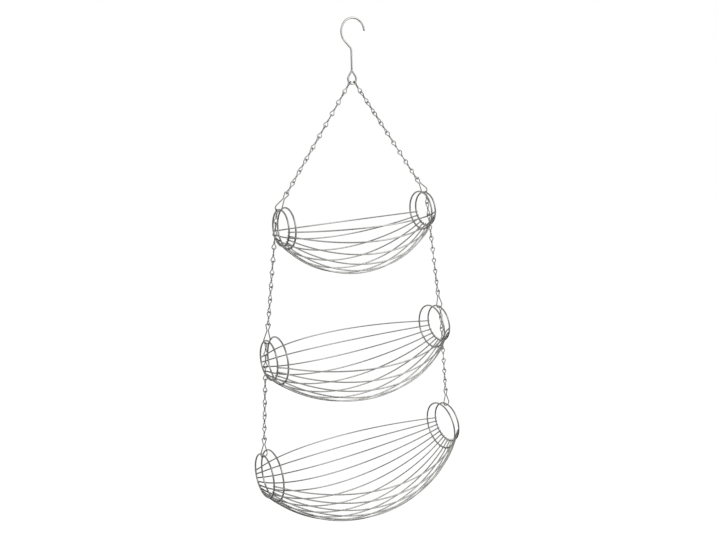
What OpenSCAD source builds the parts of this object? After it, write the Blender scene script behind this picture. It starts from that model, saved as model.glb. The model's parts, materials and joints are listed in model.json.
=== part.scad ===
// Three-tier hanging fruit basket of welded wire, hung by chains from one hook.
// Millimetres, +Z up, +X along the baskets, front towards -Y.
// The origin is where the hook's crook rests on whatever carries it.

/* [Hook] */
// Wire of the hook
hook_wire = 3.2; // [2.8:0.1:3.6]
// Radius of the crook, to the middle of the wire
crook_r = 21; // [18:0.5:26]
// How far the crook's centre stands beside the shank
crook_offset = 3.5; // [1:0.5:6]
// Where the crook's open tip ends, above the level of its centre
crook_tip_angle = 6; // [-20:1:40]
// Where the crook's round leaves for the shank
crook_end_angle = 226; // [218:1:232]
// Radius of the bend into the shank
bend_r = 9; // [7:0.5:11]
// Straight shank below the bend
shank_len = 30; // [20:1:60]
// Radius of the eye, to the middle of the wire
eye_r = 7.5; // [6.5:0.1:9]
// From the eye's pointed top to the centre of its round part
eye_h = 13; // [12:0.5:18]
// Bead that closes the eye at the shank's foot
eye_bead = 4.2; // [4:0.1:5]

/* [Chain] */
// Wire of the chain
chain_wire = 1.6; // [1.4:0.1:1.8]
// Pitch of the chain, from link to link
pitch = 20.6; // [18:0.2:24]
// Radius of a link's loops, to the middle of the wire
loop_r = 3.2; // [3:0.1:3.6]
// Knot at a link's waist, where its two loops meet
knot_d = 2.8; // [2.6:0.1:3.2]
// Height of the knot
knot_h = 2.6; // [2:0.2:4]
// Links of each upper chain
upper_links = 10; // [9:1:13]
// Links of each chain between the top and the middle basket
middle_links = 9; // [7:1:12]
// Links of each chain between the middle and the bottom basket
bottom_links = 8; // [7:1:12]
// Where the upper chains hang in the eye, to each side of its lowest point
hang_angle = 40; // [32:1:46]

/* [Clip] */
// Spring wire of the snap clips
clip_wire = 1.8; // [1.6:0.1:2]
// Length of a clip, from its top wire to its bottom wire
clip_len = 33; // [31:0.5:37]
// Half the width of the clip's flat top, to the middle of the wire
clip_top_w = 3.9; // [3.6:0.1:4.2]
// Radius of the two bends at the ends of that top
clip_corner_r = 1.5; // [1.2:0.1:1.8]
// Radius of the clip's large lower loop
clip_bottom_r = 5.8; // [5.6:0.1:6.8]
// Gap between the legs at the clip's waist
clip_waist_gap = 0.8; // [0.6:0.1:1.6]
// Distance of the waist below the clip's top
clip_waist_drop = 11; // [10:0.5:12]
// Radius of the bends at the waist
clip_waist_r = 4; // [3:0.5:4]
// How far the open end of the lower loop reaches round, past its lowest point
clip_hook_angle = 82; // [70:1:86]
// Where a ring sits in its clip, inwards from the loop's lowest point, with a chain beside it
ring_sit_angle = 55; // [40:1:60]
// Where the next chain hangs in that loop, outwards from its lowest point
chain_sit_angle = 25; // [20:1:40]

/* [Rings and wires] */
// Wire of the end rings
ring_wire = 2.8; // [2.4:0.1:3.2]
// Wire of the basket
basket_wire = 2.2; // [1.8:0.1:2.6]
// Lean of the end rings, their tops inwards
ring_lean = 1.5; // [0:0.5:2]
// How far a wire stands out past its outer ring
wire_stub = 0.4; // [0.2:0.1:1.2]
// How deep a weld sinks a wire into a ring
weld_bite = 0.35; // [0.3:0.05:0.5]

/* [Top basket] */
// From the middle of the basket to its outer ring
top_half = 139.5; // [125:0.5:155]
// Radius of the outer rings
top_ring_r = 29; // [28:0.5:31]
// Radius of the inner rings
top_inner_r = 32.5; // [31.5:0.5:33.5]
// How far the inner rings sit below the outer ones
top_inner_drop = 1.5; // [0.5:0.5:2.5]
// From the outer ring to the inner one
top_ring_gap = 10; // [9:0.5:13]
// Number of long wires
top_wires = 12; // [12]
// Half the width of the basket at its middle
top_bow_w = 83; // [70:1:95]
// Height of the wires' sweep at the middle
top_bow_h = 90; // [75:1:100]
// Centre of that sweep, below the rings' centre
top_bow_drop = 1; // [0:1:15]
// Half the sweep at the middle
top_bow_sweep = 84; // [80:1:88]
// Half the sweep of the welds round the rings
top_ring_sweep = 82; // [78:1:88]
// How far the basket sits turned in its clips, its lowest wires towards the front
top_turn = 7; // [0:1:10]

/* [Middle basket] */
// From the middle of the basket to its outer ring
middle_half = 170.5; // [160:0.5:180]
// Radius of the outer rings
middle_ring_r = 32.5; // [31:0.5:34]
// Radius of the inner rings
middle_inner_r = 38.5; // [37.5:0.5:40]
// How far the inner rings sit below the outer ones
middle_inner_drop = 3; // [1.5:0.5:4]
// From the outer ring to the inner one
middle_ring_gap = 16; // [14:0.5:18]
// Number of long wires
middle_wires = 13; // [13]
// Half the width of the basket at its middle
middle_bow_w = 104; // [92:1:115]
// Height of the wires' sweep at the middle
middle_bow_h = 87; // [75:1:100]
// Centre of that sweep, below the rings' centre
middle_bow_drop = 11; // [0:1:25]
// Half the sweep at the middle
middle_bow_sweep = 89; // [84:1:91]
// Half the sweep of the welds round the rings
middle_ring_sweep = 88; // [82:1:90]

/* [Bottom basket] */
// From the middle of the basket to its outer ring
bottom_half = 189.5; // [182:0.5:205]
// Radius of the outer rings
bottom_ring_r = 36.5; // [35:0.5:38]
// Radius of the inner rings
bottom_inner_r = 43; // [42:0.5:44]
// How far the inner rings sit below the outer ones
bottom_inner_drop = 3.5; // [2:0.5:4.5]
// From the outer ring to the inner one
bottom_ring_gap = 14.5; // [12.5:0.5:17]
// Number of long wires
bottom_wires = 16; // [16]
// Half the width of the basket at its middle
bottom_bow_w = 112; // [100:1:125]
// Height of the wires' sweep at the middle
bottom_bow_h = 115; // [100:1:125]
// Centre of that sweep, below the rings' centre
bottom_bow_drop = 6; // [0:1:20]
// Half the sweep at the middle
bottom_bow_sweep = 80; // [76:1:86]
// Half the sweep of the welds round the rings
bottom_ring_sweep = 85; // [82:1:90]

/* [Hidden] */
$fn = 40;

// Gap between wires that hang in each other
hang_gap = 0.3;
// Turn of a chain from its first link to its last
chain_turn = 90;
// A straight stretch is this much thinner than a bend and sinks this far into it, so that the two
// make one solid
thinner = 0.04;
sink = 0.15;
left = -1;
right = 1;

// One value for each basket: top, middle, bottom
half = [top_half, middle_half, bottom_half];
ring_r = [top_ring_r, middle_ring_r, bottom_ring_r];
inner_r = [top_inner_r, middle_inner_r, bottom_inner_r];
inner_drop = [top_inner_drop, middle_inner_drop, bottom_inner_drop];
ring_gap = [top_ring_gap, middle_ring_gap, bottom_ring_gap];
wires = [top_wires, middle_wires, bottom_wires];
bow_w = [top_bow_w, middle_bow_w, bottom_bow_w];
bow_h = [top_bow_h, middle_bow_h, bottom_bow_h];
bow_drop = [top_bow_drop, middle_bow_drop, bottom_bow_drop];
bow_sweep = [top_bow_sweep, middle_bow_sweep, bottom_bow_sweep];
ring_sweep = [top_ring_sweep, middle_ring_sweep, bottom_ring_sweep];
links = [upper_links, middle_links, bottom_links];
turn = [top_turn, 0, 0];

// Hook, in its own X and Z
crook_in = crook_r - hook_wire / 2;
crook_c = [crook_offset, -sqrt(crook_in ^ 2 - crook_offset ^ 2)];
crook_heading = crook_end_angle - 270;
crook_end = crook_c + crook_r * [cos(crook_end_angle), sin(crook_end_angle)];
bend_start_x = -bend_r * (1 + sin(crook_heading));
bend_start = [bend_start_x, crook_end[1] + (bend_start_x - crook_end[0]) * tan(crook_heading)];
bend_c = [-bend_r, bend_start[1] - bend_r * cos(crook_heading)];
eye_top = bend_c[1] - shank_len;
eye_z = eye_top - eye_h;

// Chains: all these places are on the right, as [x, z]
link_len = pitch + chain_wire + hang_gap;
eye_seat = eye_r - hook_wire / 2 - chain_wire / 2 - hang_gap;
// Distances from the centre of a clip's lower loop
chain_in_clip = clip_bottom_r - (clip_wire + chain_wire) / 2 - hang_gap;
ring_in_clip = clip_bottom_r - (clip_wire + ring_wire) / 2 - hang_gap;
function sit_angle(k) = k < 2 ? ring_sit_angle : 0;
// From a chain's first wire to its ring's wire: along the chain, and square to it, inwards
function reach(k) = links[k] * pitch + (chain_wire - clip_wire) / 2 + clip_len - clip_bottom_r
    + ring_in_clip * cos(sit_angle(k));
function inset(k) = ring_in_clip * sin(sit_angle(k));
function ring_top_x(k) = half[k] - ring_r[k] * sin(ring_lean);
function slant(k) = asin((ring_top_x(k) - start(k)[0]) / norm([reach(k), inset(k)]))
    + atan2(inset(k), reach(k));
function down(k) = [sin(slant(k)), -cos(slant(k))];
function outward(k) = [cos(slant(k)), sin(slant(k))];
function clip_top(k) = start(k) + (links[k] * pitch + (chain_wire - clip_wire) / 2) * down(k);
function clip_round(k) = clip_top(k) + (clip_len - clip_bottom_r) * down(k);
function start(k) = k == 0
    ? eye_seat * [sin(hang_angle), -cos(hang_angle)] + [0, eye_z]
    : clip_round(k - 1) + chain_in_clip
        * (cos(chain_sit_angle) * down(k - 1) + sin(chain_sit_angle) * outward(k - 1));
function ring_top(k) = start(k) + reach(k) * down(k) - inset(k) * outward(k);
function basket_z(k) = ring_top(k)[1] - ring_r[k] * cos(ring_lean);

// Wire of a basket, in the plane it is bent in. t is 1 at the rim and 0 at the bottom.
weld_reach = (ring_wire + basket_wire) / 2 - weld_bite;
function share(k, j) = 1 - 2 * j / (wires[k] - 1);
function bow(k, t) = [bow_w[k] * sin(bow_sweep[k] * t), -bow_drop[k] - bow_h[k] * cos(bow_sweep[k] * t)];
function ring_dir(k, t) = [sin(ring_sweep[k] * t), -cos(ring_sweep[k] * t)];
function inner_x(k, z) = half[k] - ring_gap[k] - tan(ring_lean) * z;
function slope_from(k, t, w) = 2 * atan(norm(bow(k, t) - w) / inner_x(k, w[1]));
// A wire runs outside the inner ring and inside the outer one, at a slope that the weld allows for
function inner_point(k, t, r) = r * ring_dir(k, t) - [0, inner_drop[k]];
function inner_weld(k, t) = let (rough = inner_point(k, t, inner_r[k] + weld_reach))
    inner_point(k, t, inner_r[k] + weld_reach / cos(slope_from(k, t, rough)));
function fall(w, d, r) = w * d - sqrt((w * d) ^ 2 - w * w + r ^ 2);
function rise_run(k, w, d, r) = let (f = fall(w, d, r))
    [half[k] - tan(ring_lean) * (w[1] - f * d[1]) - inner_x(k, w[1]), f];

function along(p, heading, l) = p + l * [cos(heading), sin(heading)];

// Straight wire from a to b, each given as [x, z]
module rod(a, b, d) {
    v = b - a;
    translate([a[0], 0, a[1]]) rotate([0, 90 - atan2(v[1], v[0]), 0]) translate([0, 0, -sink])
        cylinder(h = norm(v) + 2 * sink, d = d - thinner);
}

// Arc in the X and Z plane, from angle a0 to angle a1
module bent(c, r, a0, a1, d) {
    translate([c[0], 0, c[1]]) rotate([90, 0, 0]) rotate([0, 0, a0])
        rotate_extrude(angle = a1 - a0) translate([r, 0]) circle(d = d);
}

// Closed loop hanging from a point at the origin: a round part and two straight legs
module teardrop(r, h, d) {
    a = acos(r / h);
    bent([0, -h], r, 90 + a, 450 - a, d);
    for (s = [left, right]) rod([s * r * sin(a), -h + r * cos(a)], [0, 0], d);
}

module to_side(side) {
    if (side == left) mirror([1, 0, 0]) children();
    else children();
}

module hook() {
    color("silver") {
        bent(crook_c, crook_r, crook_tip_angle, crook_end_angle, hook_wire);
        rod(crook_end, bend_start, hook_wire);
        bent(bend_c, bend_r, 0, crook_heading + 90, hook_wire);
        rod([0, bend_c[1]], [0, eye_top], hook_wire);
        translate([0, 0, eye_top]) sphere(d = eye_bead);
        translate([0, 0, eye_top]) teardrop(eye_r, eye_h, hook_wire);
    }
}

// One link, hanging from the middle of its top wire, its two loops square to each other
module link() {
    apex = knot_h / 2 - 2 * sink;
    loop_h = link_len / 2 - apex - loop_r;
    translate([0, 0, -link_len / 2]) {
        translate([0, 0, apex]) rotate([180, 0, 90]) teardrop(loop_r, loop_h, chain_wire);
        cylinder(h = knot_h, d = knot_d, center = true);
        translate([0, 0, -apex]) teardrop(loop_r, loop_h, chain_wire);
    }
}

// Links first to last of chain k. The chain turns a little at each link, so that its last loop
// stands square to its first.
module chain(k, side, first, last) {
    color("gainsboro") to_side(side) for (i = [first : last]) {
        p = start(k) + i * pitch * down(k);
        translate([p[0], 0, p[1]]) rotate([0, -slant(k), 0])
            rotate([0, 0, i * chain_turn / (links[k] - 1)]) link();
    }
}

// Angle at which the straight leg leaves circle a for circle b on its other side
function leg_angle(a, ra, b, rb, s) = atan2(b[1] - a[1], b[0] - a[0]) + s * acos((ra + rb) / norm(b - a));

// Snap clip, hanging from the middle of its top wire
module clip(k, side) {
    corner = [clip_top_w - clip_corner_r, -clip_corner_r];
    bottom = [0, clip_bottom_r - clip_len];
    waist = [clip_waist_gap / 2 + clip_wire / 2 + clip_waist_r, -clip_waist_drop];
    a = leg_angle(corner, clip_corner_r, waist, clip_waist_r, 1);
    b = leg_angle(bottom, clip_bottom_r, waist, clip_waist_r, -1);
    color("silver") to_side(side) translate([clip_top(k)[0], 0, clip_top(k)[1]]) rotate([0, -slant(k), 0]) {
        rod([-corner[0], 0], [corner[0], 0], clip_wire);
        for (s = [left, right]) to_side(s) {
            bent(corner, clip_corner_r, a, 90, clip_wire);
            rod(along(corner, a, clip_corner_r), along(waist, a, -clip_waist_r), clip_wire);
            bent(waist, clip_waist_r, 180 + a, 180 + b, clip_wire);
            rod(along(waist, b, -clip_waist_r), along(bottom, b, clip_bottom_r), clip_wire);
        }
        bent(bottom, clip_bottom_r, 270 - clip_hook_angle, 360 + b, clip_wire);
    }
}

// A basket turned in its clips, about the top of its outer rings
module turned(k) {
    z = ring_top(k)[1];
    translate([0, 0, z]) rotate([-turn[k], 0, 0]) translate([0, 0, -z]) children();
}

module ring(k, side, x, z, r) {
    color("silver") turned(k) to_side(side) translate([x, 0, basket_z(k) + z])
        rotate([0, 90 - ring_lean, 0]) rotate_extrude() translate([r, 0]) circle(d = ring_wire);
}

module outer_ring(k, side) ring(k, side, half[k], 0, ring_r[k]);

module inner_ring(k, side) ring(k, side, inner_x(k, -inner_drop[k]), -inner_drop[k], inner_r[k]);

// One long wire: a bow between the inner rings, and at each end a short bend to the outer ring
module long_wire(k, t) {
    w = inner_weld(k, t);
    d = (bow(k, t) - w) / norm(bow(k, t) - w);
    h = norm(bow(k, t) - w);
    x = inner_x(k, w[1]);
    slope = 2 * atan(h / x);
    r = (x ^ 2 + h ^ 2) / (2 * h);
    rough = rise_run(k, w, d, ring_r[k] - weld_reach);
    run = rise_run(k, w, d, ring_r[k] - weld_reach / cos(atan2(rough[1], rough[0])));
    translate([0, w[0], basket_z(k) + w[1]]) rotate([atan2(d[0], -d[1]), 0, 0]) {
        bent([0, r - h], r, 270 - slope, 270 + slope, basket_wire);
        for (s = [left, right]) to_side(s)
            rod([x, 0], [x, 0] + run + wire_stub * run / norm(run), basket_wire);
    }
}

// Wires that match, one at the back and one at the front. The lowest of an odd number stands alone.
module wire_pair(k, j) {
    t = share(k, j);
    color("lightgray") turned(k) {
        long_wire(k, t);
        if (t > 0) mirror([0, 1, 0]) long_wire(k, t);
    }
}

hook();
chain(0, left, 0, 0);  // upper_left_first_link
chain(0, right, 0, 0);  // upper_right_first_link
chain(0, left, 1, upper_links - 1);  // upper_left_chain
chain(0, right, 1, upper_links - 1);  // upper_right_chain
clip(0, left);  // top_left_clip
clip(0, right);  // top_right_clip
outer_ring(0, left);  // top_left_outer_ring
outer_ring(0, right);  // top_right_outer_ring
inner_ring(0, left);  // top_left_inner_ring
inner_ring(0, right);  // top_right_inner_ring
wire_pair(0, 0);  // top_rim_wires
wire_pair(0, 1);  // top_wires_2
wire_pair(0, 2);  // top_wires_3
wire_pair(0, 3);  // top_wires_4
wire_pair(0, 4);  // top_wires_5
wire_pair(0, 5);  // top_bottom_wires
chain(1, left, 0, middle_links - 1);  // middle_left_chain
chain(1, right, 0, middle_links - 1);  // middle_right_chain
clip(1, left);  // middle_left_clip
clip(1, right);  // middle_right_clip
outer_ring(1, left);  // middle_left_outer_ring
outer_ring(1, right);  // middle_right_outer_ring
inner_ring(1, left);  // middle_left_inner_ring
inner_ring(1, right);  // middle_right_inner_ring
wire_pair(1, 0);  // middle_rim_wires
wire_pair(1, 1);  // middle_wires_2
wire_pair(1, 2);  // middle_wires_3
wire_pair(1, 3);  // middle_wires_4
wire_pair(1, 4);  // middle_wires_5
wire_pair(1, 5);  // middle_wires_6
wire_pair(1, 6);  // middle_bottom_wire
chain(2, left, 0, bottom_links - 1);  // bottom_left_chain
chain(2, right, 0, bottom_links - 1);  // bottom_right_chain
clip(2, left);  // bottom_left_clip
clip(2, right);  // bottom_right_clip
outer_ring(2, left);  // bottom_left_outer_ring
outer_ring(2, right);  // bottom_right_outer_ring
inner_ring(2, left);  // bottom_left_inner_ring
inner_ring(2, right);  // bottom_right_inner_ring
wire_pair(2, 0);  // bottom_rim_wires
wire_pair(2, 1);  // bottom_wires_2
wire_pair(2, 2);  // bottom_wires_3
wire_pair(2, 3);  // bottom_wires_4
wire_pair(2, 4);  // bottom_wires_5
wire_pair(2, 5);  // bottom_wires_6
wire_pair(2, 6);  // bottom_wires_7
wire_pair(2, 7);  // bottom_lowest_wires
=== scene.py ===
import json
from math import acos, asin, atan, atan2, cos, degrees, pi, radians, sin, sqrt, tan

import bpy
import numpy as np
from mathutils import Matrix, Vector


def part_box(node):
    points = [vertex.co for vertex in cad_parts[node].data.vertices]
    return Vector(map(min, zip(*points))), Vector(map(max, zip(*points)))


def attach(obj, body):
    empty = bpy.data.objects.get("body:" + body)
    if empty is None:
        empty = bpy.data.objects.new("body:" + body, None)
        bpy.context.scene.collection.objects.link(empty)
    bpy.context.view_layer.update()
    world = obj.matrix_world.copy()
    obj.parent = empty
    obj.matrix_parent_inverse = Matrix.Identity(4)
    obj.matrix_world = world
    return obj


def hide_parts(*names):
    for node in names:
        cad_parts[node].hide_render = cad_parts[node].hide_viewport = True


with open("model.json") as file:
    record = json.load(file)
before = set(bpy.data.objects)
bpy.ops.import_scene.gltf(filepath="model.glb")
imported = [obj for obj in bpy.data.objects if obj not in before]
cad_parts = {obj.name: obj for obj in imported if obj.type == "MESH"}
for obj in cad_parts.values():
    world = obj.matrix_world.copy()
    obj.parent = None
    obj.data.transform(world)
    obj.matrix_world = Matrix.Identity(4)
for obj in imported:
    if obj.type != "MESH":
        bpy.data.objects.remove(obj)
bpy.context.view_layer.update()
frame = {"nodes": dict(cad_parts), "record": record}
print("frame loaded:", len(frame["nodes"]), "nodes")

mm = 0.001  # the sizes below are in millimetres, the scene is in metres
left, right = -1, 1
acrossX = np.array([1.0, 0.0, 0.0])
acrossY = np.array([0.0, 1.0, 0.0])
acrossZ = np.array([0.0, 0.0, 1.0])
tipAngles = (25.0, 50.0, 70.0, 84.0)    # the rings of points that round off a wire's cut end
offNode = 0.0012                        # metres that a piece may differ from its node's box unseen


# Shader helpers

class Socket:
    # wraps one output socket, so that shader maths reads like Python
    def __init__(self, nodes, out):
        self.nodes, self.out = nodes, out

    def maths(self, operation, other=None, flipped=False):
        values = [self] if other is None else ([other, self] if flipped else [self, other])
        return self.nodes.add("Math", {"operation": operation}, values)

    def __add__(self, other):
        return self.maths("ADD", other)

    def __radd__(self, other):
        return self.maths("ADD", other, True)

    def __mul__(self, other):
        return self.maths("MULTIPLY", other)

    def __rmul__(self, other):
        return self.maths("MULTIPLY", other, True)

    def __pow__(self, other):
        return self.maths("POWER", other)


class Nodes:
    # the node tree of one material or world
    def __init__(self, tree):
        self.tree = tree
        tree.nodes.clear()

    def add(self, kind, settings=None, values=(), output=0):
        node = self.tree.nodes.new("ShaderNode" + kind)
        for name, value in (settings or {}).items():
            if name == "stops":
                ramp = node.color_ramp
                while len(ramp.elements) < len(value):
                    ramp.elements.new(0.5)
                for element, (place, colour) in zip(ramp.elements, value):
                    element.position, element.color = place, (*colour, 1)
            else:
                setattr(node, name, value)
        pairs = values.items() if isinstance(values, dict) else enumerate(values)
        for name, value in pairs:
            if isinstance(value, Socket):
                self.tree.links.new(value.out, node.inputs[name])
            else:
                node.inputs[name].default_value = value
        return Socket(self, node.outputs[output]) if len(node.outputs) else None


# Materials

metalLook = {
    "plateBright": (0.365, 0.362, 0.346),
    "plateDull": (0.245, 0.243, 0.232),
    "dullStop": 0.35,       # where in the noise the dull tone ends and the bright one starts
    "brightStop": 0.65,
    "cloudScale": 14.0,     # soft clouding of the plating, per metre
    "cloudDetail": 4.0,
    "markScale": 230.0,     # faint marks of the drawing die
    "markDetail": 6.0,
    "markRough": 0.7,
    "cloudShare": 0.75,     # how much of the tone is clouding, the rest is marks
    "polishSpread": 0.14,
    "grainScale": 900.0,    # fine orange peel
    "grainDetail": 2.0,
    "grainDepth": 0.000006,
    "grainStrength": 0.5,
}


def makeMetal(name, tone, roughness, wear=0.0):
    # plated steel: clouded tone, uneven polish, and a fine skin in the plating
    s = metalLook
    material = bpy.data.materials.new(name)
    material.use_nodes = True
    n = Nodes(material.node_tree)
    place = n.add("TexCoord", output=3)
    cloud = n.add("TexNoise", {}, {"Vector": place, "Scale": s["cloudScale"], "Detail": s["cloudDetail"]})
    grain = n.add("TexNoise", {}, {"Vector": place, "Scale": s["grainScale"], "Detail": s["grainDetail"]})
    marks = n.add("TexNoise", {}, {
        "Vector": place, "Scale": s["markScale"], "Detail": s["markDetail"], "Roughness": s["markRough"]})
    dull = tuple(tone * c for c in s["plateDull"])
    bright = tuple(tone * c for c in s["plateBright"])
    mix = cloud * s["cloudShare"] + marks * (1 - s["cloudShare"])
    stops = [(s["dullStop"], dull), (s["brightStop"], bright)]
    colour = n.add("ValToRGB", {"stops": stops}, [mix])
    polish = roughness + s["polishSpread"] * (marks ** 2.0) + wear * cloud
    bump = n.add("Bump", {}, {
        "Height": grain, "Distance": s["grainDepth"], "Strength": s["grainStrength"]})
    skin = n.add("BsdfPrincipled", {}, {
        "Base Color": colour, "Metallic": 1.0, "Roughness": polish, "Normal": bump})
    n.add("OutputMaterial", {}, [skin])
    return material


metals = {
    "hook_steel": makeMetal("hookPlating", tone=1.15, roughness=0.14),
    "chain_steel": makeMetal("chainPlating", tone=0.85, roughness=0.18, wear=0.05),
    "clip_steel": makeMetal("clipPlating", tone=0.85, roughness=0.14),
    "ring_steel": makeMetal("ringPlating", tone=0.8, roughness=0.14),
    "wire_steel": makeMetal("wirePlating", tone=1.0, roughness=0.2, wear=0.03),
}
for node in frame["record"]["subparts"]:
    frame["nodes"][node["node"]].data.materials.clear()
    frame["nodes"][node["node"]].data.materials.append(metals[node["material_slot"]])
print("materials made:", len(metals))


# Paths and tubes

def arc(centre, radius, start, end, count=None):
    # points of an arc in the X and Z plane, from angle start to angle end, in degrees
    count = count or max(5, int(abs(end - start) / 7) + 2)
    angle = np.radians(np.linspace(start, end, count))
    return np.stack([centre[0] + radius * np.cos(angle), 0 * angle, centre[1] + radius * np.sin(angle)], 1)


def straight(a, b, count=3):
    # points of a straight run in the X and Z plane
    share = np.linspace(0, 1, count)[:, None]
    return np.array([a[0], 0, a[1]]) * (1 - share) + np.array([b[0], 0, b[1]]) * share


def joined(*runs):
    # one path out of runs that follow each other, without the doubled points between them
    return np.concatenate([runs[0]] + [run[1:] for run in runs[1:]])


def turnAbout(points, axis, angle):
    # points turned about an axis through the origin, in degrees
    return points @ np.array(Matrix.Rotation(radians(angle), 3, axis)).T


def mirrored(points, side):
    return points * np.array([side, 1.0, 1.0])


def sided(shape, side):
    # the same shape on the left, with its faces turned back to point outwards
    points, faces = shape
    if side == right:
        return shape
    return mirrored(points, side), [face[::-1] for face in faces]


def tube(path, diameter, facing, sides=14, closed=False, tip=1.0):
    # a round wire along a path: ring i is path[i] + r(cos u * a + sin u * b), where a and b stand square
    # to the path and a lies as near to facing as it can. Open ends are rounded as part of a ball.
    radius = np.full(len(path), diameter / 2)
    if closed:
        along = np.roll(path, -1, 0) - np.roll(path, 1, 0)
    else:
        along = np.gradient(path, axis=0)
        along[0], along[-1] = path[1] - path[0], path[-1] - path[-2]
    along /= np.linalg.norm(along, axis=1)[:, None]
    if not closed:
        rise = np.radians(tipAngles)
        out = np.sin(rise)[:, None] * diameter / 2 * tip
        shrink = np.cos(rise) * diameter / 2
        path = np.concatenate([(path[0] - along[0] * out)[::-1], path, path[-1] + along[-1] * out])
        radius = np.concatenate([shrink[::-1], radius, shrink])
        more = (len(tipAngles), 1)
        along = np.concatenate([np.tile(along[0], more), along, np.tile(along[-1], more)])
    facing = np.broadcast_to(facing, along.shape)
    a = facing - (facing * along).sum(1)[:, None] * along
    a /= np.linalg.norm(a, axis=1)[:, None]
    b = np.cross(along, a)
    u = np.linspace(0, 2 * pi, sides, endpoint=False)[None, :, None]
    points = path[:, None] + radius[:, None, None] * (np.cos(u) * a[:, None] + np.sin(u) * b[:, None])
    rings = len(path)
    i = np.arange(rings if closed else rings - 1)[:, None]
    j = np.arange(sides)[None]
    iNext, jNext = (i + 1) % rings, (j + 1) % sides
    quads = np.stack([i * sides + j, i * sides + jNext, iNext * sides + jNext, iNext * sides + j], -1)
    faces = quads.reshape(-1, 4).tolist()
    if not closed:
        faces.append(list(range(sides))[::-1])
        faces.append(list(range((rings - 1) * sides, rings * sides)))
    return points.reshape(-1, 3), faces


def beads(places, axes, sizes, rings=6, sides=10):
    # one rounded bead at each place: a ball stretched by sizes along the three axes of that place
    v = np.linspace(0, pi, rings + 1)[:, None]
    u = np.linspace(0, 2 * pi, sides, endpoint=False)[None]
    circles = np.stack([np.sin(v) * np.cos(u), np.sin(v) * np.sin(u), np.cos(v) + 0 * u], -1)
    ball = circles[1:-1].reshape(-1, 3)
    ball = np.concatenate([ball, [[0, 0, 1], [0, 0, -1]]])
    points = places[:, None] + np.einsum("pc,nc,nck->npk", ball, sizes, axes)
    i, j = np.arange(rings - 2)[:, None], np.arange(sides)[None]
    jNext = (j + 1) % sides
    quads = np.stack([i * sides + j, (i + 1) * sides + j, (i + 1) * sides + jNext, i * sides + jNext], -1)
    last = (rings - 2) * sides
    top, end = last + sides, last + sides + 1
    faces = quads.reshape(-1, 4).tolist()
    faces += [[top, k, (k + 1) % sides] for k in range(sides)]
    faces += [[end, last + (k + 1) % sides, last + k] for k in range(sides)]
    count = len(ball)
    allFaces = [[n * count + corner for corner in face] for n in range(len(places)) for face in faces]
    return points.reshape(-1, 3), allFaces


def makePiece(name, shapes, slot, body, *nodes):
    # one piece from several shapes, on its body, standing for its nodes
    corners, faces, start = [], [], 0
    for points, shapeFaces in shapes:
        corners.append(points)
        faces += [[corner + start for corner in face] for face in shapeFaces]
        start += len(points)
    mesh = bpy.data.meshes.new(name)
    mesh.from_pydata((np.concatenate(corners) * mm).tolist(), [], faces)
    mesh.polygons.foreach_set("use_smooth", np.ones(len(mesh.polygons), bool))
    mesh.update()
    mesh.materials.append(metals[slot])
    piece = bpy.data.objects.new(name, mesh)
    bpy.context.scene.collection.objects.link(piece)
    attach(piece, body)
    if nodes:
        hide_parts(*nodes)
        lows, highs = zip(*[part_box(node) for node in nodes])
        low = np.min([list(v) for v in lows], 0)
        high = np.max([list(v) for v in highs], 0)
        points = np.concatenate(corners) * mm
        slip = max(np.abs(points.min(0) - low).max(), np.abs(points.max(0) - high).max())
        if slip > offNode:
            print("  check", name, "is off its node by", round(1000 * slip, 2), "mm")


# The hook

hookSizes = {
    "wire": 3.2, "crook": 21.0, "offset": 3.5, "tipAngle": 6.0, "endAngle": 226.0,
    "bend": 9.0, "shank": 30.0, "eye": 7.5, "eyeDrop": 13.0,
    "beadDrop": 0.6,                # the weld that closes the eye, below the shank's foot
    "bead": (2.1, 1.95, 2.5),       # its half sizes
}


def teardrop(radius, drop):
    # closed loop hanging from the origin in the X and Z plane: leg, round part, leg
    a = degrees(acos(radius / drop))
    start = arc((0, -drop), radius, 90 + a, 450 - a)
    return joined(straight((0, 0), (start[0][0], start[0][2]), 6), start,
                  straight((start[-1][0], start[-1][2]), (0, 0), 6))


def hookPlaces():
    s = hookSizes
    inside = s["crook"] - s["wire"] / 2
    crook = np.array([s["offset"], -sqrt(inside ** 2 - s["offset"] ** 2)])
    end = radians(s["endAngle"])
    heading = end - radians(270)
    crookEnd = crook + s["crook"] * np.array([cos(end), sin(end)])
    startX = -s["bend"] * (1 + sin(heading))
    bendStart = np.array([startX, crookEnd[1] + (startX - crookEnd[0]) * tan(heading)])
    bend = np.array([-s["bend"], bendStart[1] - s["bend"] * cos(heading)])
    return crook, crookEnd, bendStart, bend, degrees(heading)


def makeHook():
    s = hookSizes
    crook, crookEnd, bendStart, bend, heading = hookPlaces()
    foot = bend[1] - s["shank"]
    path = joined(arc(crook, s["crook"], s["tipAngle"], s["endAngle"], 60),
                  straight(crookEnd, bendStart, 4),
                  arc(bend, s["bend"], heading + 90, 0, 14),
                  straight((0, bend[1]), (0, foot), 12))
    eye = teardrop(s["eye"], s["eyeDrop"]) + np.array([0, 0, foot])
    place = np.array([[0, 0, foot - s["beadDrop"]]])
    weld = beads(place, np.eye(3)[None], np.array([s["bead"]]), 12, 20)
    shapes = [tube(path, s["wire"], acrossY, 24), tube(eye, s["wire"], acrossY, 24), weld]
    makePiece("ceilingHook", shapes, "hook_steel", "hook", "hook")
    return foot - s["eyeDrop"]


eyeHeight = makeHook()
print("hook made")


# Where the chains, clips and baskets hang

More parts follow.
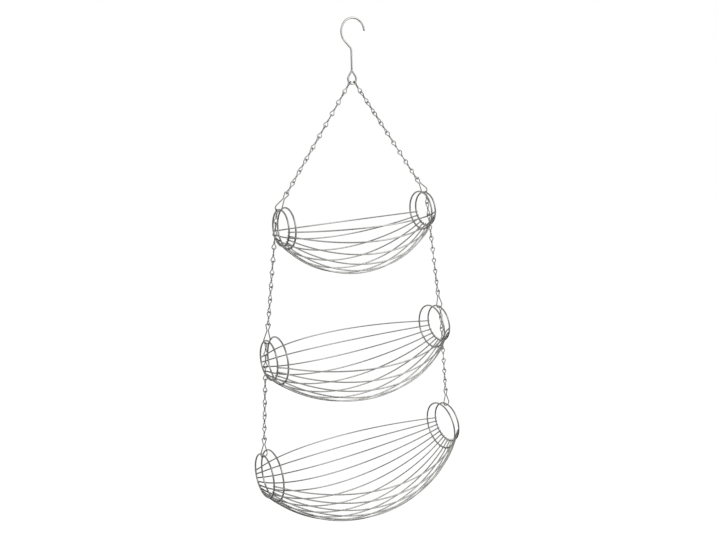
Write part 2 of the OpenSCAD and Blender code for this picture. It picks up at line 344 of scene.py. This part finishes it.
chainSizes = {
    "wire": 1.6, "pitch": 20.6, "loop": 3.2, "knotHeight": 2.6, "gap": 0.3,
    "links": (10, 9, 8), "hangAngle": 40.0, "turn": 90.0,
    "wrapWire": 1.05, "wrapTurns": 2.0, "wrapOut": 1.1, "wrapHalf": 0.85, "wrapPoints": 34,
    "apexDrop": 0.3,    # how far the legs of a loop reach into the wrapped waist
}
clipSizes = {
    "wire": 1.8, "length": 33.0, "bottom": 5.8,
    "waistGap": 0.8, "waistDrop": 11.0, "waist": 4.0, "hookAngle": 82.0,
    "ringSits": 55.0, "chainSits": 25.0,    # either side of the lower loop's lowest point
    "shoulder": 3.9, "corner": 1.5,         # half width and corner bends of the squared-off top
}
basketSizes = {
    "ringWire": 2.8, "wire": 2.2, "lean": 1.5, "stub": 0.4, "bite": 0.35,
    "names": ("top", "middle", "bottom"),
    "half": (139.5, 170.5, 189.5),
    "ring": (29.0, 32.5, 36.5),
    "inner": (32.5, 38.5, 43.0),
    "innerDrop": (1.5, 3.0, 3.5),
    "ringGap": (10.0, 16.0, 14.5),
    "wires": (12, 13, 16),
    "bowWidth": (83.0, 104.0, 112.0),
    "bowHeight": (90.0, 87.0, 115.0),
    "bowDrop": (1.0, 11.0, 6.0),
    "bowSweep": (84.0, 89.0, 80.0),
    "ringSweep": (82.0, 88.0, 85.0),
    "turn": (7.0, 0.0, 0.0),    # the top basket sits a little turned in its clips
    "weld": (1.45, 1.35, 0.8),  # half sizes of a weld: along the basket, along the ring, outwards
    "ringPoints": 96,
    "bowPoints": 44,
    "cutTip": 0.35,             # a cradle wire is cut nearly flat: its rounded tip, as a share of a ball
}
linkLength = chainSizes["pitch"] + chainSizes["wire"] + chainSizes["gap"]


def hangingLine():
    # for each basket: where its chain starts, which way it runs, its clip's top and its rings' height
    eyeSeat = hookSizes["eye"] - hookSizes["wire"] / 2 - chainSizes["wire"] / 2 - chainSizes["gap"]
    hang = radians(chainSizes["hangAngle"])
    start = np.array([eyeSeat * sin(hang), eyeHeight - eyeSeat * cos(hang)])
    lean = radians(basketSizes["lean"])
    ringInClip = clipSizes["bottom"] - (clipSizes["wire"] + basketSizes["ringWire"]) / 2 - chainSizes["gap"]
    chainInClip = clipSizes["bottom"] - (clipSizes["wire"] + chainSizes["wire"]) / 2 - chainSizes["gap"]
    chainSits = radians(clipSizes["chainSits"])
    places = []
    for k in range(3):
        ringSits = radians(clipSizes["ringSits"]) if k < 2 else 0
        toClip = chainSizes["links"][k] * chainSizes["pitch"] + (chainSizes["wire"] - clipSizes["wire"]) / 2
        reach = toClip + clipSizes["length"] - clipSizes["bottom"] + ringInClip * cos(ringSits)
        inset = ringInClip * sin(ringSits)
        across = basketSizes["half"][k] - basketSizes["ring"][k] * sin(lean) - start[0]
        slant = asin(across / np.hypot(reach, inset)) + atan2(inset, reach)
        down = np.array([sin(slant), -cos(slant)])
        outward = np.array([cos(slant), sin(slant)])
        clipTop = start + toClip * down
        ringTop = start + reach * down - inset * outward
        height = ringTop[1] - basketSizes["ring"][k] * cos(lean)
        places.append({"start": start, "down": down, "slant": degrees(slant),
                       "clipTop": clipTop, "ringTop": ringTop[1], "height": height})
        clipRound = clipTop + (clipSizes["length"] - clipSizes["bottom"]) * down
        start = clipRound + chainInClip * (cos(chainSits) * down + sin(chainSits) * outward)
    return places


hanging = hangingLine()


# Chains

def linkShapes():
    # one link hanging from its top wire: two loops square to each other and a wrapped waist
    s = chainSizes
    apex = s["knotHeight"] / 2 - s["apexDrop"]
    drop = linkLength / 2 - apex - s["loop"]
    loop = teardrop(s["loop"], drop)
    upper = turnAbout(turnAbout(loop, "X", 180), "Z", 90) + np.array([0, 0, apex])
    lower = loop - np.array([0, 0, apex])
    turns = np.linspace(0, 2 * pi * s["wrapTurns"], s["wrapPoints"])
    heights = np.linspace(s["wrapHalf"], -s["wrapHalf"], s["wrapPoints"])
    wrap = np.stack([s["wrapOut"] * np.cos(turns), s["wrapOut"] * np.sin(turns), heights], 1)
    middle = np.array([0, 0, -linkLength / 2])
    return [(upper + middle, s["wire"], turnAbout(acrossY[None], "Z", 90)[0]),
            (lower + middle, s["wire"], acrossY),
            (wrap + middle, s["wrapWire"], acrossZ)]


def makeChain(name, k, side, first, last, body, *nodes):
    place = hanging[k]
    shapes = []
    for i in range(first, last + 1):
        at = place["start"] + i * chainSizes["pitch"] * place["down"]
        for path, wire, facing in linkShapes():
            turn = i * chainSizes["turn"] / (chainSizes["links"][k] - 1)
            path = turnAbout(turnAbout(path, "Z", turn), "Y", -place["slant"])
            facing = turnAbout(turnAbout(facing[None], "Z", turn), "Y", -place["slant"])
            path = path + np.array([at[0], 0, at[1]])
            shapes.append(sided(tube(path, wire, facing, 12), side))
    makePiece(name, shapes, "chain_steel", body, *nodes)


sides = (("left", left), ("right", right))
for word, side in sides:
    makeChain(f"upper{word.title()}FirstLink", 0, side, 0, 0, "first_links", f"upper_{word}_first_link")
    makeChain(f"upper{word.title()}Chain", 0, side, 1, chainSizes["links"][0] - 1, "upper_chains",
              f"upper_{word}_chain")
    for k, tier in ((1, "middle"), (2, "bottom")):
        makeChain(f"{tier}{word.title()}Chain", k, side, 0, chainSizes["links"][k] - 1, f"{tier}_chains",
                  f"{tier}_{word}_chain")
print("chains made")


# Snap clips

def legAngle(a, ra, b, rb, s):
    # where a straight leg leaves circle a for the far side of circle b, in degrees
    return degrees(atan2(b[1] - a[1], b[0] - a[0]) + s * acos((ra + rb) / np.hypot(*(b - a))))


def around(centre, radius, angle):
    return centre + radius * np.array([cos(radians(angle)), sin(radians(angle))])


def clipPath():
    # bent spring wire in one run: free leg, over the top, and round the bottom to the open tip
    s = clipSizes
    bottom = np.array([0, s["bottom"] - s["length"]])
    waist = np.array([s["waistGap"] / 2 + s["wire"] / 2 + s["waist"], -s["waistDrop"]])
    b = legAngle(bottom, s["bottom"], waist, s["waist"], -1)
    corner = np.array([s["shoulder"] - s["corner"], -s["corner"]])
    a = legAngle(corner, s["corner"], waist, s["waist"], 1)
    freeLeg = joined(straight(around(bottom, s["bottom"], b), around(waist, s["waist"], 180 + b), 5),
                     arc(waist, s["waist"], 180 + b, 180 + a, 9),
                     straight(around(waist, s["waist"], 180 + a), around(corner, s["corner"], a), 5),
                     arc(corner, s["corner"], a, 90, 9))
    otherLeg = mirrored(freeLeg[::-1], left)
    path = joined(freeLeg, straight((corner[0], 0), (-corner[0], 0), 5), otherLeg,
                  arc(bottom, s["bottom"], 180 - b, 270 + s["hookAngle"], 26))
    return mirrored(path, left)


def makeClip(k, word, side):
    tier = basketSizes["names"][k]
    place = hanging[k]
    top = np.array([place["clipTop"][0], 0, place["clipTop"][1]])
    path = turnAbout(clipPath(), "Y", -place["slant"]) + top
    shape = sided(tube(path, clipSizes["wire"], acrossY, 16), side)
    makePiece(f"{tier}{word.title()}Clip", [shape], "clip_steel", f"{tier}_basket", f"{tier}_{word}_clip")


for k in range(3):
    for word, side in sides:
        makeClip(k, word, side)
print("clips made")


# Baskets

weldReach = (basketSizes["ringWire"] + basketSizes["wire"]) / 2 - basketSizes["bite"]
leanTan = tan(radians(basketSizes["lean"]))


def bow(k, t):
    a = radians(basketSizes["bowSweep"][k] * t)
    return np.array([basketSizes["bowWidth"][k] * sin(a),
                     -basketSizes["bowDrop"][k] - basketSizes["bowHeight"][k] * cos(a)])


def ringDirection(k, t):
    a = radians(basketSizes["ringSweep"][k] * t)
    return np.array([sin(a), -cos(a)])


def innerX(k, z):
    return basketSizes["half"][k] - basketSizes["ringGap"][k] - leanTan * z


def innerWeld(k, t):
    # middle of a wire where it passes outside the inner ring
    drop = np.array([0, basketSizes["innerDrop"][k]])
    rough = (basketSizes["inner"][k] + weldReach) * ringDirection(k, t) - drop
    slope = 2 * atan(np.linalg.norm(bow(k, t) - rough) / innerX(k, rough[1]))
    return (basketSizes["inner"][k] + weldReach / cos(slope)) * ringDirection(k, t) - drop


def riseRun(k, w, d, radius):
    # from the inner weld to the outer one: along the basket, and back up the wire's own plane
    f = w @ d - sqrt((w @ d) ** 2 - w @ w + radius ** 2)
    return np.array([basketSizes["half"][k] - leanTan * (w[1] - f * d[1]) - innerX(k, w[1]), f])


def wirePath(k, t):
    # half of one long wire, from its middle to its cut end, with its two welds
    w = innerWeld(k, t)
    h = np.linalg.norm(bow(k, t) - w)
    d = (bow(k, t) - w) / h
    x = innerX(k, w[1])
    slope = 2 * atan(h / x)
    radius = (x ** 2 + h ** 2) / (2 * h)
    outer = basketSizes["ring"][k]
    rough = riseRun(k, w, d, outer - weldReach)
    run = riseRun(k, w, d, outer - weldReach / cos(atan2(rough[1], rough[0])))
    end = np.array([x, 0]) + run + basketSizes["stub"] * run / np.linalg.norm(run)
    bowed = arc((0, radius - h), radius, 270, 270 + degrees(slope), basketSizes["bowPoints"])
    # the short run to the outer ring leaves in the bow's own direction and bends smoothly to its weld
    share = np.linspace(0, 1, 9)[1:, None]
    leave = np.array([cos(slope), sin(slope)]) * np.linalg.norm(end - [x, 0])
    flat = (np.array([x, 0]) * (1 - share) ** 2 + 2 * share * (1 - share) * (np.array([x, 0]) + leave / 2)
            + share ** 2 * end)
    path = np.concatenate([bowed, np.stack([flat[:, 0], 0 * flat[:, 0], flat[:, 1]], 1)])
    # out of the wire's plane into the basket: local depth runs against d, and the plane holds X
    place = np.stack([path[:, 0], w[0] - d[0] * path[:, 2], w[1] - d[1] * path[:, 2]], 1)
    place[:, 2] += hanging[k]["height"]
    across = np.array([0, -d[1], d[0]])
    innerAt = place[len(bowed) - 1]
    outerAt = place[-3]    # a wire ends a little past its weld
    return place, across, innerAt, outerAt


def turned(k, shape):
    # about the top of the basket's outer rings, its lowest wires towards the front
    points, faces = shape
    top = np.array([0, 0, hanging[k]["ringTop"]])
    return turnAbout(points - top, "X", -basketSizes["turn"][k]) + top, faces


def wholeWire(half):
    return np.concatenate([mirrored(half[:0:-1], left), half])


def makeWires(k):
    # the long wires by pairs, back and front, and every weld of the basket
    tier = basketSizes["names"][k]
    count = basketSizes["wires"][k]
    pairs = (count + 1) // 2
    wireNodes = [node for node in frame["nodes"] if node.startswith(tier) and "wire" in node]
    order = {"rim": 0, "bottom": pairs - 1, "lowest": pairs - 1}
    spots = []
    for node in wireNodes:
        tail = node[len(tier) + 1:].replace("_wires", "").replace("_wire", "").replace("wires_", "")
        j = order.get(tail) if tail in order else int(tail) - 1
        t = 1 - 2 * j / (count - 1)
        shapes = []
        for mirror in ((1, -1) if t > 1e-9 else (1,)):
            half, across, innerAt, outerAt = wirePath(k, t)
            flip = np.array([1, mirror, 1])
            wire = tube(wholeWire(half) * flip, basketSizes["wire"], across * flip,
                        tip=basketSizes["cutTip"])
            shapes.append(turned(k, wire))
            spots.append((innerAt * flip, outerAt * flip))
        makePiece(tier + "LongWires" + str(j + 1), shapes, "wire_steel", f"{tier}_basket", node)
    return spots


def makeRings(k):
    tier = basketSizes["names"][k]
    u = np.linspace(0, 2 * pi, basketSizes["ringPoints"], endpoint=False)
    for kind in ("outer", "inner"):
        radius = basketSizes["ring"][k] if kind == "outer" else basketSizes["inner"][k]
        drop = 0 if kind == "outer" else basketSizes["innerDrop"][k]
        x = basketSizes["half"][k] if kind == "outer" else innerX(k, -drop)
        circle = np.stack([0 * u, radius * np.sin(u), radius * np.cos(u)], 1)
        lean = radians(basketSizes["lean"])
        path = np.stack([x - circle[:, 2] * sin(lean), circle[:, 1],
                         hanging[k]["height"] - drop + circle[:, 2] * cos(lean)], 1)
        for word, side in sides:
            shape = sided(tube(path, basketSizes["ringWire"], acrossX, 20, closed=True), side)
            makePiece(f"{tier}{word.title()}{kind.title()}Ring", [turned(k, shape)], "ring_steel",
                      f"{tier}_basket", f"{tier}_{word}_{kind}_ring")


def makeWelds(k, spots):
    # a small nugget of metal where each wire crosses a ring
    tier = basketSizes["names"][k]
    places, axes, sizes = [], [], []
    for innerAt, outerAt in spots:
        for at, outward in ((innerAt, -1), (outerAt, 1)):
            drop = basketSizes["innerDrop"][k] if outward < 0 else 0
            spoke = np.array([0, at[1], at[2] - hanging[k]["height"] + drop])
            spoke /= np.linalg.norm(spoke)
            tangent = np.cross(acrossX, spoke)
            for word, side in sides:
                places.append(mirrored(at + outward * spoke * basketSizes["wire"] / 2, side))
                axes.append([acrossX, tangent, spoke])
                sizes.append(basketSizes["weld"])
    shape = beads(np.array(places), np.array(axes), np.array(sizes))
    makePiece(tier + "Welds", [turned(k, shape)], "ring_steel", f"{tier}_basket")


for k in range(3):
    makeRings(k)
    makeWelds(k, makeWires(k))
    print("basket made:", basketSizes["names"][k])


# Floor, light and camera

studio = {
    "floorHeight": -1.75,
    "floorSize": 40.0,
    "worldStrength": 0.85,
    "seenWhite": 1.0,
    "floorGlow": 1.08,      # with the share below it makes the floor run into the white behind
    "floorShare": 0.75,
    "floorTone": 0.9,
    "cardTone": 0.02,
    "lampTarget": (0, 0, -0.45),
    "lamps": [
        # place, size, watts: the right one puts the highlight on the middle of the wires
        ((-2.6, -2.4, 1.6), 2.2, 20.0),
        ((1.5, -2.1, 1.0), 2.6, 60.0),
    ],
    "screens": [
        # dark cards seen only in the metal: place, width and height, tip and turn in degrees
        ((-1.7, -0.2, -0.4), (1.1, 2.6), (0.0, 90.0)),
        ((1.9, 0.6, -0.4), (1.1, 2.6), (0.0, -90.0)),
        ((0.2, -2.6, -0.5), (0.9, 2.4), (0.0, 0.0)),
        ((0.4, -0.2, -1.5), (2.0, 2.0), (90.0, 0.0)),
    ],
}


def cameraSees(n):
    # 1 for what the camera, a mirror or a glass shows, 0 for what light falls from
    rays = n.add("LightPath")
    node = rays.out.node
    seen = Socket(n, node.outputs["Is Camera Ray"]) + Socket(n, node.outputs["Is Transmission Ray"])
    return seen, Socket(n, node.outputs["Is Glossy Ray"])


def makeWorld():
    world = bpy.data.worlds.new("studioWorld")
    bpy.context.scene.world = world
    world.use_nodes = True
    n = Nodes(world.node_tree)
    seen, glossy = cameraSees(n)
    lit = n.add("Background", {}, {"Color": (1, 1, 1, 1), "Strength": studio["worldStrength"]})
    white = n.add("Background", {}, {"Color": (1, 1, 1, 1), "Strength": studio["seenWhite"]})
    mixed = n.add("MixShader", {}, [seen + glossy, lit, white])
    n.add("OutputWorld", {}, [mixed])


def makeStagePlane(name, corners, material):
    mesh = bpy.data.meshes.new(name)
    mesh.from_pydata(corners, [], [(0, 1, 2, 3)])
    mesh.materials.append(material)
    plane = bpy.data.objects.new(name, mesh)
    bpy.context.scene.collection.objects.link(plane)
    return plane


def makeFloor():
    material = bpy.data.materials.new("paleFloor")
    material.use_nodes = True
    n = Nodes(material.node_tree)
    seen, glossy = cameraSees(n)
    matt = n.add("BsdfDiffuse", {}, {"Color": (*[studio["floorTone"]] * 3, 1)})
    white = n.add("Emission", {}, {"Color": (1, 1, 1, 1), "Strength": studio["floorGlow"]})
    mixed = n.add("MixShader", {}, [(seen + glossy) * studio["floorShare"], matt, white])
    n.add("OutputMaterial", {}, [mixed])
    size, z = studio["floorSize"] / 2, studio["floorHeight"]
    corners = [(-size, -size, z), (size, -size, z), (size, size, z), (-size, size, z)]
    makeStagePlane("floor", corners, material)


def makeScreens():
    material = bpy.data.materials.new("darkScreen")
    material.use_nodes = True
    n = Nodes(material.node_tree)
    dark = n.add("BsdfDiffuse", {}, {"Color": (*[studio["cardTone"]] * 3, 1)})
    n.add("OutputMaterial", {}, [dark])
    for i, (place, (width, height), (tip, turn)) in enumerate(studio["screens"]):
        w, h = width / 2, height / 2
        corners = [(-w, 0, -h), (w, 0, -h), (w, 0, h), (-w, 0, h)]
        plane = makeStagePlane(f"darkScreen{i + 1}", corners, material)
        plane.location = place
        plane.rotation_euler = (radians(tip), 0, radians(turn))
        plane.visible_camera = False
        plane.visible_shadow = False
        plane.visible_diffuse = False


def makeLamps():
    target = Vector(studio["lampTarget"])
    for i, (place, size, watts) in enumerate(studio["lamps"]):
        lamp = bpy.data.lights.new(f"softLamp{i + 1}", "AREA")
        lamp.shape, lamp.size, lamp.energy = "SQUARE", size, watts
        holder = bpy.data.objects.new(f"softLamp{i + 1}", lamp)
        holder.location = place
        holder.rotation_euler = (target - Vector(place)).to_track_quat("-Z", "Y").to_euler()
        bpy.context.scene.collection.objects.link(holder)


cameraView = {
    "place": (-0.6977, -1.1697, 0.0280),     # height is above the hook's eye
    "azimuth": 30.89, "pitch": -14.1, "roll": -1.45,
    "lens": 41.89, "sensor": 36.0,
}


def makeCamera():
    az, pitch, roll = (radians(cameraView[key]) for key in ("azimuth", "pitch", "roll"))
    ahead = Vector((sin(az) * cos(pitch), cos(az) * cos(pitch), sin(pitch)))
    sideways = Vector((cos(az), -sin(az), 0))
    upwards = sideways.cross(ahead)
    across = cos(roll) * sideways + sin(roll) * upwards
    above = -sin(roll) * sideways + cos(roll) * upwards
    data = bpy.data.cameras.new("photoCamera")
    data.sensor_fit, data.sensor_width, data.lens = "HORIZONTAL", cameraView["sensor"], cameraView["lens"]
    data.clip_end = 100.0
    camera = bpy.data.objects.new("photoCamera", data)
    place = Vector(cameraView["place"]) + Vector((0, 0, eyeHeight * mm))
    camera.matrix_world = Matrix.Translation(place) @ Matrix(
        (across, above, -ahead)).transposed().to_4x4()
    bpy.context.scene.collection.objects.link(camera)
    bpy.context.scene.camera = camera


makeWorld()
makeFloor()
makeScreens()
makeLamps()
makeCamera()
bpy.context.scene.view_settings.view_transform = "Standard"
print("studio made")
